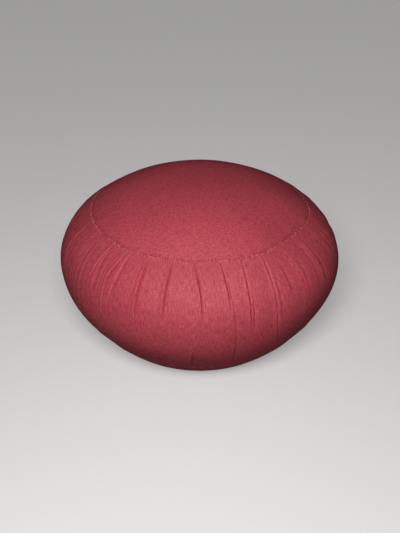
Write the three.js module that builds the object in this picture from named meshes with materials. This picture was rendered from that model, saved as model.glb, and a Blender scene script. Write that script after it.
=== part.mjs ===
// Zafu meditation cushion: a round, firmly filled cushion of plain-woven cotton. Two round panels
// close one side band, which is sewn to them in knife tucks at its top and bottom edges.
// Millimetres, +Z up. The origin is the middle of the flat spot that the cushion rests on, and the
// front, from which the tucks are counted, faces -Y.

import * as THREE from "three";

// Driving dimensions
const widestRadius = 169.9; // of the plain section, to which the puffed cloth adds
const widestHeight = 107; // of the widest ring above the surface it rests on
const crownHeight = 206.5; // middle of the top panel
const crownPower = 2.7; // 2 is an even dome, and more is flatter in the middle
const topSeamRadius = 128.5; // on average, because the tucks pull it in unevenly
const topSeamDrop = 35; // top seam below the crown
const bottomSeamRadius = 131.5;
const bottomSeamHeight = 29;
const footRadius = 90; // flat spot of the bottom panel
const panelThickness = 2;
const rimGap = 0.4; // round a panel's rim
const beddingGap = 0.9; // straight down from a panel to the filling that it lies on
const edgeLift = 1.2; // the band's folded edge stands this far above a panel
const tuckPuff = 0.9; // how far the cloth swells between two tucks
const lipRise = 0.16; // share of a crease's depth by which its folded lip stands out
const slopeStart = 0.9; // place between two tucks where the cloth starts to sink to the next
const seamRise = 0.09; // share of the band's width in which a tuck opens to its full depth
const seamStep = 0.35; // share of a tuck's depth that is left where the seam holds it flat
const unevenness = 0.8; // slow lumps of the filling, felt on the side
const bowEnd = 0.7; // share of the band's width over which a crease bows
const swayStart = 0.45; // share of the band's width where a crease starts to sway to its low end
const driftEnd = 0.2; // share of the band's width where the top seam's unevenness has gone

// How finely the faces are laid out
const panelColumns = 62;
const bandRows = [0, 0.04, 0.1, 0.18, 0.28, 0.38, 0.48, 0.58, 0.68, 0.78, 0.87, 0.95, 1];
const crownShares = [1, 0.86, 0.64, 0.34]; // rings of the filling's crown, as shares of the seam's radius
const panelShares = [1, 0.93, 0.84, 0.72, 0.56, 0.34]; // rings of the top panel, likewise
// From one tuck to the next: the crease, its lip, the puffed cloth and the slope to the next crease
const tuckColumns = [0, 0.08, 0.3, 0.54, 0.78, 0.93];

// The side seen in section, from the top seam to the bottom seam
const sideSection = [
  { radius: topSeamRadius, height: crownHeight - topSeamDrop },
  { radius: 143.5, height: 161 },
  { radius: 155.5, height: 149.5 },
  { radius: 164, height: 136 },
  { radius: 168.8, height: 121.5 },
  { radius: widestRadius, height: widestHeight },
  { radius: 168.5, height: 93 },
  { radius: 165, height: 80 },
  { radius: 158.7, height: 66.5 },
  { radius: 148.5, height: 50.5 },
  { radius: bottomSeamRadius, height: bottomSeamHeight },
];

// The bottom panel seen in section, from its seam to the flat spot
const footSection = [
  { radius: bottomSeamRadius, height: bottomSeamHeight },
  { radius: 122.5, height: 19.5 },
  { radius: 111.5, height: 9.2 },
  { radius: 101, height: 2.6 },
  { radius: footRadius, height: 0 },
];

// How far the top seam stands out from its circle: waves round the cushion, with how many there
// are, their height and where they start in radians
const seamWaves = [
  { count: 4, size: 0.35, start: 1.05 },
  { count: 5, size: 0.4, start: 0.5 },
  { count: 6, size: 0.6, start: -0.73 },
  { count: 7, size: 0.55, start: -1.66 },
  { count: 8, size: 0.45, start: -3.05 },
];

// One row for each tuck. turn: degrees round from the front at the top seam; bow: degrees that the
// crease swings out on its way down; lowTurn: degrees at the bottom seam; deep and low: its depth
// at the top and at the bottom; reach and lowReach: share of the band's width that it runs down
// from the top, and up from the bottom, before it fades out.
const tucks = [
  { turn: -177.5, bow: 1, lowTurn: -175, deep: 2, reach: 0.42, low: 1.6, lowReach: 0.34 },
  { turn: -165.8, bow: -0.8, lowTurn: -167, deep: 2.4, reach: 0.5, low: 1.4, lowReach: 0.26 },
  { turn: -154.4, bow: 1.4, lowTurn: -153.5, deep: 1.8, reach: 0.36, low: 1.9, lowReach: 0.4 },
  { turn: -142.6, bow: -1.8, lowTurn: -145, deep: 2.3, reach: 0.62, low: 1.5, lowReach: 0.3 },
  { turn: -131.2, bow: 0.6, lowTurn: -131, deep: 2, reach: 0.45, low: 1.7, lowReach: 0.22 },
  { turn: -119.3, bow: 1.6, lowTurn: -117, deep: 2.5, reach: 0.4, low: 1.6, lowReach: 0.36 },
  { turn: -107.8, bow: -1.2, lowTurn: -109, deep: 1.9, reach: 0.55, low: 1.8, lowReach: 0.28 },
  { turn: -96, bow: 0.9, lowTurn: -95.5, deep: 2.2, reach: 0.48, low: 1.5, lowReach: 0.32 },
  { turn: -84.6, bow: -1.4, lowTurn: -86, deep: 2, reach: 0.38, low: 1.7, lowReach: 0.24 },
  { turn: -72.8, bow: 0.3, lowTurn: -73.5, deep: 2.3, reach: 0.38, low: 1.6, lowReach: 0.3 },
  { turn: -62, bow: 1.2, lowTurn: -61.5, deep: 1.8, reach: 0.4, low: 1.5, lowReach: 0.26 },
  { turn: -46.5, bow: -2.6, lowTurn: -50.5, deep: 2.5, reach: 0.36, low: 1.7, lowReach: 0.3 },
  { turn: -36.2, bow: -4.2, lowTurn: -42, deep: 2.1, reach: 0.38, low: 1.5, lowReach: 0.24 },
  { turn: -24.3, bow: -0.5, lowTurn: -30.5, deep: 2, reach: 0.47, low: 1.6, lowReach: 0.22 },
  { turn: -12.6, bow: -0.9, lowTurn: -19.4, deep: 2, reach: 0.4, low: 1.7, lowReach: 0.28 },
  { turn: -2.7, bow: 3.6, lowTurn: -3.4, deep: 2.1, reach: 0.39, low: 1.8, lowReach: 0.44 },
  { turn: 9.4, bow: 2, lowTurn: 7, deep: 2.3, reach: 0.36, low: 1.3, lowReach: 0.2 },
  { turn: 19.7, bow: -0.6, lowTurn: 23.6, deep: 2.5, reach: 0.56, low: 1.5, lowReach: 0.2 },
  { turn: 30.4, bow: -0.6, lowTurn: 37, deep: 2.8, reach: 0.84, low: 1.9, lowReach: 0.42 },
  { turn: 41.9, bow: 2.7, lowTurn: 46.5, deep: 2.5, reach: 0.7, low: 1.6, lowReach: 0.3 },
  { turn: 55.9, bow: -0.7, lowTurn: 58, deep: 2.6, reach: 0.46, low: 1.7, lowReach: 0.26 },
  { turn: 69.4, bow: 0.4, lowTurn: 71.5, deep: 2.3, reach: 0.36, low: 1.8, lowReach: 0.3 },
  { turn: 78.2, bow: -0.3, lowTurn: 82, deep: 2, reach: 0.34, low: 1.5, lowReach: 0.28 },
  { turn: 89.6, bow: 1.1, lowTurn: 92, deep: 2.2, reach: 0.44, low: 1.6, lowReach: 0.32 },
  { turn: 101, bow: -1.3, lowTurn: 101.5, deep: 2.5, reach: 0.58, low: 1.8, lowReach: 0.38 },
  { turn: 112.4, bow: 1.5, lowTurn: 114, deep: 1.9, reach: 0.42, low: 1.5, lowReach: 0.26 },
  { turn: 123.6, bow: -0.9, lowTurn: 122.5, deep: 2.3, reach: 0.5, low: 1.8, lowReach: 0.3 },
  { turn: 135.1, bow: 0.7, lowTurn: 136.5, deep: 2.5, reach: 0.37, low: 1.6, lowReach: 0.34 },
  { turn: 146.2, bow: 1.8, lowTurn: 149, deep: 2, reach: 0.6, low: 1.7, lowReach: 0.22 },
  { turn: 158, bow: -1.2, lowTurn: 156.5, deep: 2.4, reach: 0.46, low: 1.5, lowReach: 0.3 },
  { turn: 170.1, bow: 0.5, lowTurn: 171, deep: 2.2, reach: 0.4, low: 1.8, lowReach: 0.36 },
];

const degrees = Math.PI / 180;
const fullTurn = 360;
const { lerp, smoothstep } = THREE.MathUtils;

const sideCurve = new THREE.SplineCurve(
  sideSection.map((row) => new THREE.Vector2(row.radius, row.height)),
);

// Point of the cushion at a radius, a height and a turn in degrees from the front
function pointAt(radius, height, turn) {
  return [radius * Math.sin(turn * degrees), -radius * Math.cos(turn * degrees), height];
}

// Height of the crowned top cloth at a share of the top seam's radius
function crownAt(share) {
  return crownHeight - topSeamDrop * share ** crownPower;
}

// How far the top seam stands out from its circle at a turn
function seamDrift(turn) {
  return seamWaves.reduce((sum, wave) => {
    return sum + wave.size * Math.sin(wave.count * turn * degrees + wave.start);
  }, 0);
}

// Turn in degrees of a tuck's crease, at a share of the way from the top seam to the bottom seam
function creaseTurn(tuck, along) {
  const bow = tuck.bow * Math.sin(Math.PI * Math.min(along / bowEnd, 1));
  return tuck.turn + bow + (tuck.lowTurn - tuck.turn) * smoothstep(along, swayStart, 1);
}

// Share of a tuck's depth at this distance from its seam: nearly flat in the seam, then fully
// open, then fading out at the end of its reach
function tuckShare(fromSeam, reach) {
  const open = lerp(seamStep, 1, smoothstep(fromSeam, 0, seamRise));
  return open * (1 - smoothstep(fromSeam, 0, reach));
}

// Depth of a tuck's crease at a share of the way from the top seam to the bottom seam
function creaseDepth(tuck, along) {
  return tuck.deep * tuckShare(along, tuck.reach) + tuck.low * tuckShare(1 - along, tuck.lowReach);
}

// Slow lumps of the filling, none at the seams
function lump(turn, along) {
  const waves = Math.sin(2 * turn * degrees + 0.6) + 0.7 * Math.sin(5 * turn * degrees + 2.1);
  return unevenness * waves * Math.sin(Math.PI * along);
}

// How far the cloth stands out from the plain section. across runs from 0 in a tuck's crease,
// over its steep lip, to 1 in the next tuck's crease.
function reliefAt({ tuck, next, across }, along) {
  if (across === 0) {
    return -creaseDepth(tuck, along);
  }
  const swell = smoothstep(Math.min(along, 1 - along), 0, seamRise);
  const puff = tuckPuff * swell * Math.sin(Math.PI * across);
  const lip = lipRise * creaseDepth(tuck, along) * (1 - smoothstep(across, 0, 0.3));
  const slope = creaseDepth(next, along) * smoothstep(across, slopeStart, 1);
  return puff + lip - slope;
}

// Turn in degrees of a column that stands between one tuck and the next
function columnTurn({ tuck, next, across }, along) {
  return lerp(creaseTurn(tuck, along), creaseTurn(next, along), across);
}

// The columns of the band: each has the tuck before it, the tuck after it and its place between
function bandColumns() {
  const first = tucks[0];
  const again = { ...first, turn: first.turn + fullTurn, lowTurn: first.lowTurn + fullTurn };
  const after = [...tucks.slice(1), again];
  return tucks.flatMap((tuck, index) => {
    return tuckColumns.map((across) => ({ tuck, next: after[index], across }));
  });
}

// A closed body of rings, all with as many points, and a middle point at each end. The rings run
// from the upper middle, over the outside, to the lower middle.
function closedBody(upperMiddle, rings, lowerMiddle) {
  const columns = rings[0].length;
  const points = [upperMiddle, ...rings.flat(), lowerMiddle];
  const at = (ring, column) => 1 + ring * columns + (column % columns);
  const lastRing = rings.length - 1;
  const faces = [];
  for (let column = 0; column < columns; column += 1) {
    faces.push(0, at(0, column), at(0, column + 1));
    for (let ring = 0; ring < lastRing; ring += 1) {
      faces.push(at(ring, column), at(ring + 1, column), at(ring + 1, column + 1));
      faces.push(at(ring, column), at(ring + 1, column + 1), at(ring, column + 1));
    }
    faces.push(points.length - 1, at(lastRing, column + 1), at(lastRing, column));
  }
  const geometry = new THREE.BufferGeometry();
  geometry.setAttribute("position", new THREE.Float32BufferAttribute(points.flat(), 3));
  geometry.setIndex(faces);
  geometry.computeVertexNormals();
  return geometry;
}

// The band's folded edge at a seam. It stands a little over the panel, less so in a crease.
function edgeRing(columns, along) {
  const seam = sideCurve.getPointAt(along);
  const outwards = along === 0 ? 1 : -1;
  return columns.map((column) => {
    const turn = columnTurn(column, along);
    const crease = column.across === 0 ? creaseDepth(column.tuck, along) : 0;
    const height = seam.y + outwards * (edgeLift - crease);
    return pointAt(seam.x + (along === 0 ? seamDrift(turn) : 0), height, turn);
  });
}

// One ring of the side band, at a share of the way from the top seam to the bottom seam
function bandRing(columns, along) {
  if (along === 0 || along === 1) {
    return edgeRing(columns, along);
  }
  const base = sideCurve.getPointAt(along);
  const tangent = sideCurve.getTangentAt(along);
  return columns.map((column) => {
    const turn = columnTurn(column, along);
    const out = reliefAt(column, along) + lump(turn, along);
    const drift = seamDrift(turn) * (1 - smoothstep(along, 0, driftEnd));
    return pointAt(base.x + drift - out * tangent.y, base.y + out * tangent.x, turn);
  });
}

// The filled side band: its tucked side, with the filling's crown and foot beneath the two panels
function pleatedBand() {
  const columns = bandColumns();
  const rebate = panelThickness + beddingGap;
  const crownRings = crownShares.map((share) => {
    return columns.map((column) => {
      const turn = columnTurn(column, 0);
      const radius = share * (topSeamRadius + seamDrift(turn));
      return pointAt(radius, crownAt(share) - rebate, turn);
    });
  });
  const sideRings = bandRows.map((along) => bandRing(columns, along));
  const footRings = footSection.map((row) => {
    return columns.map((column) => {
      return pointAt(row.radius, row.height + rebate, columnTurn(column, 1));
    });
  });
  const rings = [...crownRings.reverse(), ...sideRings, ...footRings];
  return closedBody([0, 0, crownHeight - rebate], rings, [0, 0, rebate]);
}

// A round panel from its section, whose rows run from the rim to the middle and give the share of
// the seam's radius and the height: upper face, rim, lower face. seamAt gives the seam's radius.
function roundPanel(section, middleHeight, seamAt) {
  const ring = ({ share, height }, lift) => {
    return Array.from({ length: panelColumns }, (_, column) => {
      const turn = (fullTurn * column) / panelColumns;
      return pointAt(share * (seamAt(turn) - rimGap), height + lift, turn);
    });
  };
  const lowerRings = section.map((row) => ring(row, 0));
  const upperRings = section.map((row) => ring(row, panelThickness));
  const rings = [...upperRings.reverse(), ...lowerRings];
  return closedBody([0, 0, middleHeight + panelThickness], rings, [0, 0, middleHeight]);
}

// The crowned top panel, its upper face on the crown
function topPanel() {
  const section = panelShares.map((share) => ({ share, height: crownAt(share) - panelThickness }));
  return roundPanel(section, crownHeight - panelThickness, (turn) => {
    return topSeamRadius + seamDrift(turn);
  });
}

// The bottom panel, its lower face on the surface the cushion rests on
function bottomPanel() {
  const section = footSection.map(({ radius, height }) => {
    return { share: radius / bottomSeamRadius, height };
  });
  return roundPanel(section, 0, () => bottomSeamRadius);
}

function clothPiece(name, geometry, colour) {
  const material = new THREE.MeshStandardMaterial({ color: colour, roughness: 0.9, metalness: 0 });
  const piece = new THREE.Mesh(geometry, material);
  piece.name = name;
  return piece;
}

const cushion = new THREE.Group();
cushion.add(clothPiece("top_panel", topPanel(), "#b9525f"));
cushion.add(clothPiece("pleated_band", pleatedBand(), "#ad4955"));
cushion.add(clothPiece("bottom_panel", bottomPanel(), "#a5444f"));

export default cushion;
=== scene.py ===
import math

import bpy
import numpy as np
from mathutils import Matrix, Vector


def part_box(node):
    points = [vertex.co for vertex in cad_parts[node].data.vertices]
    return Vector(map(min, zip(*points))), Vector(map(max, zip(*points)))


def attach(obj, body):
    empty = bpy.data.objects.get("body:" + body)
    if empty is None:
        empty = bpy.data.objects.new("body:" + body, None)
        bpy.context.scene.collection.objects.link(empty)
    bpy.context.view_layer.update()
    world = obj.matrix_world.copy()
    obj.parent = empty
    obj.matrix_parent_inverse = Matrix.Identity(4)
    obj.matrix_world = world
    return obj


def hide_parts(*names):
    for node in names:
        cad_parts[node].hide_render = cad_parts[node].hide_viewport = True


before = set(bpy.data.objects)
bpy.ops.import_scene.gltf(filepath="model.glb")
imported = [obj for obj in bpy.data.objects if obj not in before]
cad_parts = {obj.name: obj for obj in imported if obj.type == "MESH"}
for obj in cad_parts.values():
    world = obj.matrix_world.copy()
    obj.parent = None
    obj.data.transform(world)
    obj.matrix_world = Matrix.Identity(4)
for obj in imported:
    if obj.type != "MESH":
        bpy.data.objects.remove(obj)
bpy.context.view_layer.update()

# Zafu cushion: two round panels and a side band sewn to them in knife tucks.
# Shapes are worked out in millimetres and turned into metres as each mesh is made.
# A turn is in degrees round the cushion, from the front (-Y) towards the right (+X).
mm = 0.001
rng = np.random.default_rng(31)
cushionBody = "root"

# Sizes taken from the solid model
solidPanelThickness = 2.0
topLow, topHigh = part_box("top_panel")
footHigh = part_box("bottom_panel")[1]
crownHeight = topHigh.z / mm
topSeamHeight = topLow.z / mm + solidPanelThickness
bottomSeamHeight = footHigh.z / mm - solidPanelThickness
print("frame: crown %.1f mm, seams at %.1f and %.1f mm" % (crownHeight, topSeamHeight, bottomSeamHeight))

# The cushion seen in section
section = {
    "topSeamRadius": 128.5,
    "bottomSeamRadius": 131.5,
    "footRadius": 90.0,  # flat spot
    "crownPower": 2.7,  # 2 is a plain dome, more is flatter in the middle
    # radius and height of the side, between the two seams
    "side": [
        (143.5, 161.0), (155.5, 149.5), (164.0, 136.0), (169.0, 121.5), (170.6, 107.0),
        (169.4, 93.0), (166.0, 80.0), (159.7, 66.5), (149.0, 50.5),
    ],
    # radius and height of the bottom panel, between its seam and the flat spot
    "foot": [(122.5, 19.5), (111.5, 9.2), (101.0, 2.6)],
    # waves by which the top seam stands out from its circle: how many, size and start in radians
    "seamWaves": [(4, 0.35, 1.05), (5, 0.4, 0.5), (6, 0.6, -0.73), (7, 0.55, -1.66), (8, 0.45, -3.05)],
    "driftEnd": 0.2,  # share of the band's width where they have gone
    # where the filling lifts the top seam: turn, spread in degrees, mm
    "shoulders": [(-98.0, 38.0, 2.6), (108.0, 30.0, 1.2)],
    "shoulderIn": 0.45,  # share of the crown's radius where they have gone
    "shoulderDown": 0.42,  # share of the band's width where they have gone
}
topSeamRadius = section["topSeamRadius"]
bottomSeamRadius = section["bottomSeamRadius"]
footRadius = section["footRadius"]


def smoothCurve(points, steps=48):
    # Catmull-Rom curve through the points, as dense points with their distance along it
    p = np.array(points, float)
    p = np.vstack([2 * p[0] - p[1], p, 2 * p[-1] - p[-2]])
    t = np.linspace(0, 1, steps, endpoint=False)[:, None]
    spans = []
    for a, b, c, d in zip(p[:-3], p[1:-2], p[2:-1], p[3:]):
        cubic = 2 * b + (c - a) * t + (2 * a - 5 * b + 4 * c - d) * t**2
        spans.append(0.5 * (cubic + (3 * b - a - 3 * c + d) * t**3))
    curve = np.vstack(spans + [p[-2:-1]])
    length = np.concatenate([[0], np.cumsum(np.hypot(*np.diff(curve, axis=0).T))])
    return curve, length


topSeam = (topSeamRadius, topSeamHeight)
bottomSeam = (bottomSeamRadius, bottomSeamHeight)
sideCurve, sideLength = smoothCurve([topSeam] + section["side"] + [bottomSeam])
footCurve, footLength = smoothCurve([bottomSeam] + section["foot"] + [(footRadius, 0.0)])
bandWidth = sideLength[-1]


def alongCurve(curve, length, distance):
    # radius, height and outward normal at a distance along a section curve
    step = 0.4

    def read(at):
        return np.array([np.interp(at, length, curve[:, 0]), np.interp(at, length, curve[:, 1])])

    dr, dz = read(distance + step) - read(distance - step)
    size = np.hypot(dr, dz)
    return *read(distance), -dz / size, dr / size


def crownAt(share):
    # height of the crown at a share of the way from its middle to the seam
    return crownHeight - (crownHeight - topSeamHeight) * share ** section["crownPower"]


def smoothStep(x, low, high):
    t = np.clip((x - low) / (high - low), 0, 1)
    return t * t * (3 - 2 * t)


def bell(x):
    return np.exp(-(x**2))


def turnFrom(turn, centre):
    # degrees from a centre to a turn, between -180 and 180
    return np.mod(turn - centre + 180, 360) - 180


def addWaves(waves, turn):
    # waves round the cushion: how many, size and start in radians
    return sum(size * np.sin(count * np.radians(turn) + start) for count, size, start in waves)


def seamDrift(turn):
    return addWaves(section["seamWaves"], turn)


def shoulderLift(turn):
    shoulders = section["shoulders"]
    return sum(size * bell(turnFrom(turn, centre) / spread) for centre, spread, size in shoulders)


def onTurn(radius, height, turn):
    angle = np.radians(turn)
    return np.stack([radius * np.sin(angle), -radius * np.cos(angle), height * np.ones_like(angle)], -1)


# The knife tucks. turn: where one leaves the top seam; bow: degrees it swings out on the way down;
# lowTurn: turn at the bottom seam; deep, low: depth in mm at the top and bottom;
# reach, lowReach: share of the band's width that it runs from each seam
tuckNames = ("turn", "bow", "lowTurn", "deep", "reach", "low", "lowReach")
tuckRows = [
    (-177.5, 1.0, -175.0, 2.0, 0.42, 1.6, 0.34),
    (-165.8, -0.8, -167.0, 2.4, 0.50, 1.4, 0.26),
    (-154.4, 1.4, -153.5, 1.8, 0.36, 1.9, 0.40),
    (-142.6, -1.8, -145.0, 2.3, 0.62, 1.5, 0.30),
    (-131.2, 0.6, -131.0, 2.0, 0.45, 1.7, 0.22),
    (-119.3, 1.6, -117.0, 2.5, 0.40, 1.6, 0.36),
    (-107.8, -1.2, -109.0, 1.9, 0.55, 1.8, 0.28),
    (-96.0, 0.9, -95.5, 1.3, 0.48, 1.5, 0.32),
    (-84.6, -1.4, -86.0, 1.3, 0.38, 1.7, 0.24),
    (-72.8, 0.3, -73.5, 2.1, 0.38, 1.6, 0.30),
    (-62.0, 1.2, -61.5, 1.4, 0.40, 1.5, 0.26),
    (-46.5, -2.6, -50.5, 1.9, 0.36, 1.7, 0.30),
    (-36.2, -4.2, -42.0, 2.1, 0.38, 1.5, 0.24),
    (-24.3, -0.5, -30.5, 2.1, 0.58, 1.6, 0.22),
    (-12.6, -0.9, -19.4, 2.2, 0.50, 1.7, 0.28),
    (-2.7, 3.6, -3.4, 2.2, 0.46, 1.8, 0.44),
    (9.4, 2.0, 7.0, 2.3, 0.36, 1.3, 0.20),
    (19.7, -0.6, 23.6, 2.5, 0.56, 1.5, 0.20),
    (30.4, -0.6, 37.0, 2.8, 0.84, 1.9, 0.42),
    (41.9, 2.7, 46.5, 2.5, 0.70, 1.6, 0.30),
    (55.9, -0.7, 58.0, 2.6, 0.46, 1.7, 0.26),
    (69.4, 0.4, 71.5, 2.3, 0.36, 1.8, 0.30),
    (78.2, -0.3, 82.0, 2.0, 0.34, 1.5, 0.28),
    (89.6, 1.1, 92.0, 2.2, 0.44, 1.6, 0.32),
    (101.0, -1.3, 101.5, 2.5, 0.58, 1.8, 0.38),
    (112.4, 1.5, 114.0, 1.9, 0.42, 1.5, 0.26),
    (123.6, -0.9, 122.5, 2.3, 0.50, 1.8, 0.30),
    (135.1, 0.7, 136.5, 2.5, 0.37, 1.6, 0.34),
    (146.2, 1.8, 149.0, 2.0, 0.60, 1.7, 0.22),
    (158.0, -1.2, 156.5, 2.4, 0.46, 1.5, 0.30),
    (170.1, 0.5, 171.0, 2.2, 0.40, 1.8, 0.36),
]
tucks = {name: np.array(column) for name, column in zip(tuckNames, zip(*tuckRows))}
tuckCount = len(tuckRows)
tuckShape = {
    "fullDepth": 2.2,  # mm
    "width": 0.72,  # half-width in mm of a crease of full depth
    "narrowest": 0.62,  # share of that width in the shallowest crease
    "tuckedIn": 1.25,  # times its depth that a tuck goes down in the crease
    "easeOut": 2.4,  # times wider past the folded edge than before it
    "steepness": (1.3, 2.2),  # of its walls, past the edge and before it
    "dipShare": 0.42,  # share of the depth that is a step down past the folded edge
    "dipWidth": 5.0,  # mm in which the cloth comes back up
    "slackened": 0.6,  # how much a lifted shoulder pulls the tucks open
    "slackLift": 2.5,  # mm of lift that does it
    "step": 0.3,  # mm that the folded edge stands over the cloth beside the seam
    "stepWidth": 6.0,
    "stepRound": 0.8,  # mm in which the edge is rounded
    "stepReach": 0.1,  # share of the band's width over which it fades
    "openAt": 0.16,  # share of the band's width in which a tuck opens
    "flatShare": 0.3,  # share of the depth left in the seam itself
    "fadeFrom": 0.5,  # shares of its reach where it starts to fade and has gone
    "fadeTo": 1.04,
    "bowEnd": 0.7,  # share of the band's width over which a crease bows
    "swayFrom": 0.45,  # share where it starts to sway to its low end
    "shadePast": 0.4,  # mm past the folded edge where its shade is deepest
    "shadeWidth": 0.6,
    "shadePower": 1.5,  # more leaves the shallow folds lighter
    "foldEnds": 0.6,  # less keeps the short folds deep nearer to their ends
    # where the filling presses the tucks flatter: turn, spread in degrees, share
    "pressed": [(64.0, 22.0, 0.35), (-78.0, 30.0, 0.4)],
}

# Short folds beside the tucks. turn: where one starts; swing: degrees by its end;
# start, end: shares of the band's width; deep and wide in mm
shortFoldNames = ("turn", "swing", "start", "end", "deep", "wide")
shortFoldRows = [
    (-45.6, -0.2, 0.17, 0.38, 0.88, 0.99),
    (-34.6, -2.2, 0.02, 0.37, 1.38, 0.85),
    (-59.0, 0.6, 0.10, 0.30, 0.75, 1.08),
    (-27.0, -1.6, 0.22, 0.40, 0.5, 0.99),
    (-12.0, -0.2, 0.30, 0.46, 0.62, 0.81),
    (11.6, 0.6, 0.14, 0.28, 1.25, 0.77),
    (12.5, 2.6, 0.27, 0.98, 1.38, 0.81),
    (20.6, -0.5, 0.28, 0.52, 1.12, 0.77),
    (31.9, 0.1, 0.19, 0.42, 1.12, 0.81),
    (37.1, 0.6, 0.13, 0.33, 1.0, 1.35),
    (47.0, -1.0, 0.16, 0.34, 0.62, 1.17),
    (58.8, -0.6, 0.18, 0.40, 0.88, 0.99),
    (72.6, -1.0, 0.10, 0.30, 0.88, 0.99),
    (95.0, 1.2, 0.12, 0.36, 1.0, 0.99),
    (118.0, -1.4, 0.18, 0.44, 1.12, 0.9),
    (139.5, 1.0, 0.10, 0.32, 1.0, 0.99),
    (151.5, 1.5, 0.34, 0.92, 1.25, 0.85),
    (175.0, -0.8, 0.16, 0.40, 1.12, 0.95),
    (-160.5, 1.2, 0.14, 0.38, 1.12, 0.9),
    (-137.0, -1.0, 0.20, 0.42, 0.88, 1.08),
    (-113.0, 2.0, 0.30, 0.90, 1.12, 0.85),
    (-90.5, 0.8, 0.12, 0.34, 1.0, 0.95),
]
shortFolds = [dict(zip(shortFoldNames, row)) for row in shortFoldRows]


def tuckTurn(index, along):
    # turn of a tuck's crease, at a share of the way from the top seam to the bottom one
    lap, index = np.divmod(index, tuckCount)
    turn, low = tucks["turn"][index], tucks["lowTurn"][index]
    bow = tucks["bow"][index] * np.sin(math.pi * np.clip(along / tuckShape["bowEnd"], 0, 1))
    return turn + bow + (low - turn) * smoothStep(along, tuckShape["swayFrom"], 1.0) + 360.0 * lap


def columnTurn(column, along):
    # column counts tucks: 3.25 is a quarter of the way from tuck 3 to tuck 4
    index = np.floor(column).astype(int)
    across = column - index
    return tuckTurn(index, along) * (1 - across) + tuckTurn(index + 1, along) * across


def turnToColumn(turn, along):
    columns = np.arange(tuckCount + 1)
    turns = columnTurn(columns, along)
    return np.interp(np.mod(turn - turns[0], 360.0) + turns[0], turns, columns)


def depthFromSeam(distance, deep, reach, tightness):
    # distance and reach are shares of the band's width; tightness is 1 where nothing pulls the tuck open
    s = tuckShape
    flat = s["flatShare"] * tightness**2
    opened = flat + (1 - flat) * smoothStep(distance, 0, s["openAt"] * (2 - tightness))
    return tightness * deep * opened * (1 - smoothStep(distance, s["fadeFrom"] * reach, s["fadeTo"] * reach))


def tuckDepth(index, along):
    tuck = {name: column[np.mod(index, tuckCount)] for name, column in tucks.items()}
    pulled = np.clip(shoulderLift(tuck["turn"]) / tuckShape["slackLift"], 0, 1)
    tightness = 1 - tuckShape["slackened"] * pulled
    top = depthFromSeam(along, tuck["deep"], tuck["reach"], tightness)
    return top + depthFromSeam(1 - along, tuck["low"], tuck["lowReach"], 1.0)


def creaseProfile(past, width):
    # the narrow crease under a folded edge and the cloth's slow rise past it, in mm past the edge
    s = tuckShape
    spread = width * np.where(past > 0, s["easeOut"], 1.0)
    crease = s["tuckedIn"] * np.exp(-((np.abs(past) / spread) ** np.where(past > 0, *s["steepness"])))
    dip = smoothStep(past, -width, width) * np.exp(-np.maximum(past, 0) / s["dipWidth"])
    return -(1 - s["dipShare"]) * crease - s["dipShare"] * dip


def tucksBeside(column, along, radius):
    # depth of the tuck on each side, mm past its folded edge, and half-width of its crease
    index = np.floor(column).astype(int)
    across = column - index
    pitch = np.radians(tuckTurn(index + 1, along) - tuckTurn(index, along)) * radius
    narrowest = tuckShape["narrowest"]
    for depth, past in (
        (tuckDepth(index, along), across * pitch),
        (tuckDepth(index + 1, along), (across - 1) * pitch),
    ):
        share = narrowest + (1 - narrowest) * np.clip(depth / tuckShape["fullDepth"], 0, 1)
        yield depth, past, tuckShape["width"] * share


def shortFoldsBeside(turn, along, radius):
    # the same for every short fold
    for fold in shortFolds:
        t = (along - fold["start"]) / (fold["end"] - fold["start"])
        inside = np.clip(t, 0, 1)
        fade = np.sin(math.pi * inside) ** tuckShape["foldEnds"] * ((t > 0) & (t < 1))
        off = turnFrom(turn, fold["turn"] + fold["swing"] * inside)
        yield fold["deep"] * fade, np.radians(off) * radius, fold["wide"]


def foldRelief(column, turn, along, radius):
    # how far the tucks and short folds move the cloth outwards
    s = tuckShape
    relief = 0
    for depth, past, width in tucksBeside(column, along, radius):
        relief = relief + depth * creaseProfile(past, width)
        before = np.maximum(-past, 0)
        step = s["step"] * np.exp(-before / s["stepWidth"]) * smoothStep(before, 0, s["stepRound"])
        relief = relief + (past < 0) * step * bell(np.minimum(along, 1 - along) / s["stepReach"])
    for depth, past, width in shortFoldsBeside(turn, along, radius):
        relief = relief + depth * creaseProfile(past, width)
    flattened = sum(share * bell(turnFrom(turn, centre) / spread) for centre, spread, share in s["pressed"])
    return (1 - flattened) * relief


def foldShade(column, turn, along, radius):
    # how much a point lies in the shade of a fold, which is painted into the cloth's colour: 1 in the crease
    # of a full tuck
    shade = 0
    for depth, past, width in (*tucksBeside(column, along, radius), *shortFoldsBeside(turn, along, radius)):
        full = np.clip(depth / tuckShape["fullDepth"], 0, 1) ** tuckShape["shadePower"]
        shade = np.maximum(shade, full * bell((past - tuckShape["shadePast"]) / tuckShape["shadeWidth"]))
    return shade


def makeGridFaces(rings, columns, first=0):
    ring, column = np.meshgrid(np.arange(rings - 1), np.arange(columns), indexing="ij")
    a = first + ring * columns + column
    b = first + ring * columns + (column + 1) % columns
    return np.stack([a, a + columns, b + columns, b], -1).reshape(-1, 4)


def makeMesh(name, points, faces):
    mesh = bpy.data.meshes.new(name)
    mesh.from_pydata((np.asarray(points) * mm).tolist(), [], faces)
    mesh.update()
    piece = bpy.data.objects.new(name, mesh)
    bpy.context.scene.collection.objects.link(piece)
    return piece


def makeClosedForm(name, points, ringCount):
    # points: rings of one size, from the top round to the bottom, then the middles of the top and
    # the bottom, where triangles close the form
    count = (len(points) - 2) // ringCount
    last = ringCount * count
    top, bottom = np.arange(count), np.arange(last - count, last)
    faces = makeGridFaces(ringCount, count).tolist()
    faces += [[last, int(a), int(b)] for a, b in zip(top, np.roll(top, -1))]
    faces += [[last + 1, int(b), int(a)] for a, b in zip(bottom, np.roll(bottom, -1))]
    return makeMesh(name, points, faces)


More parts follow.
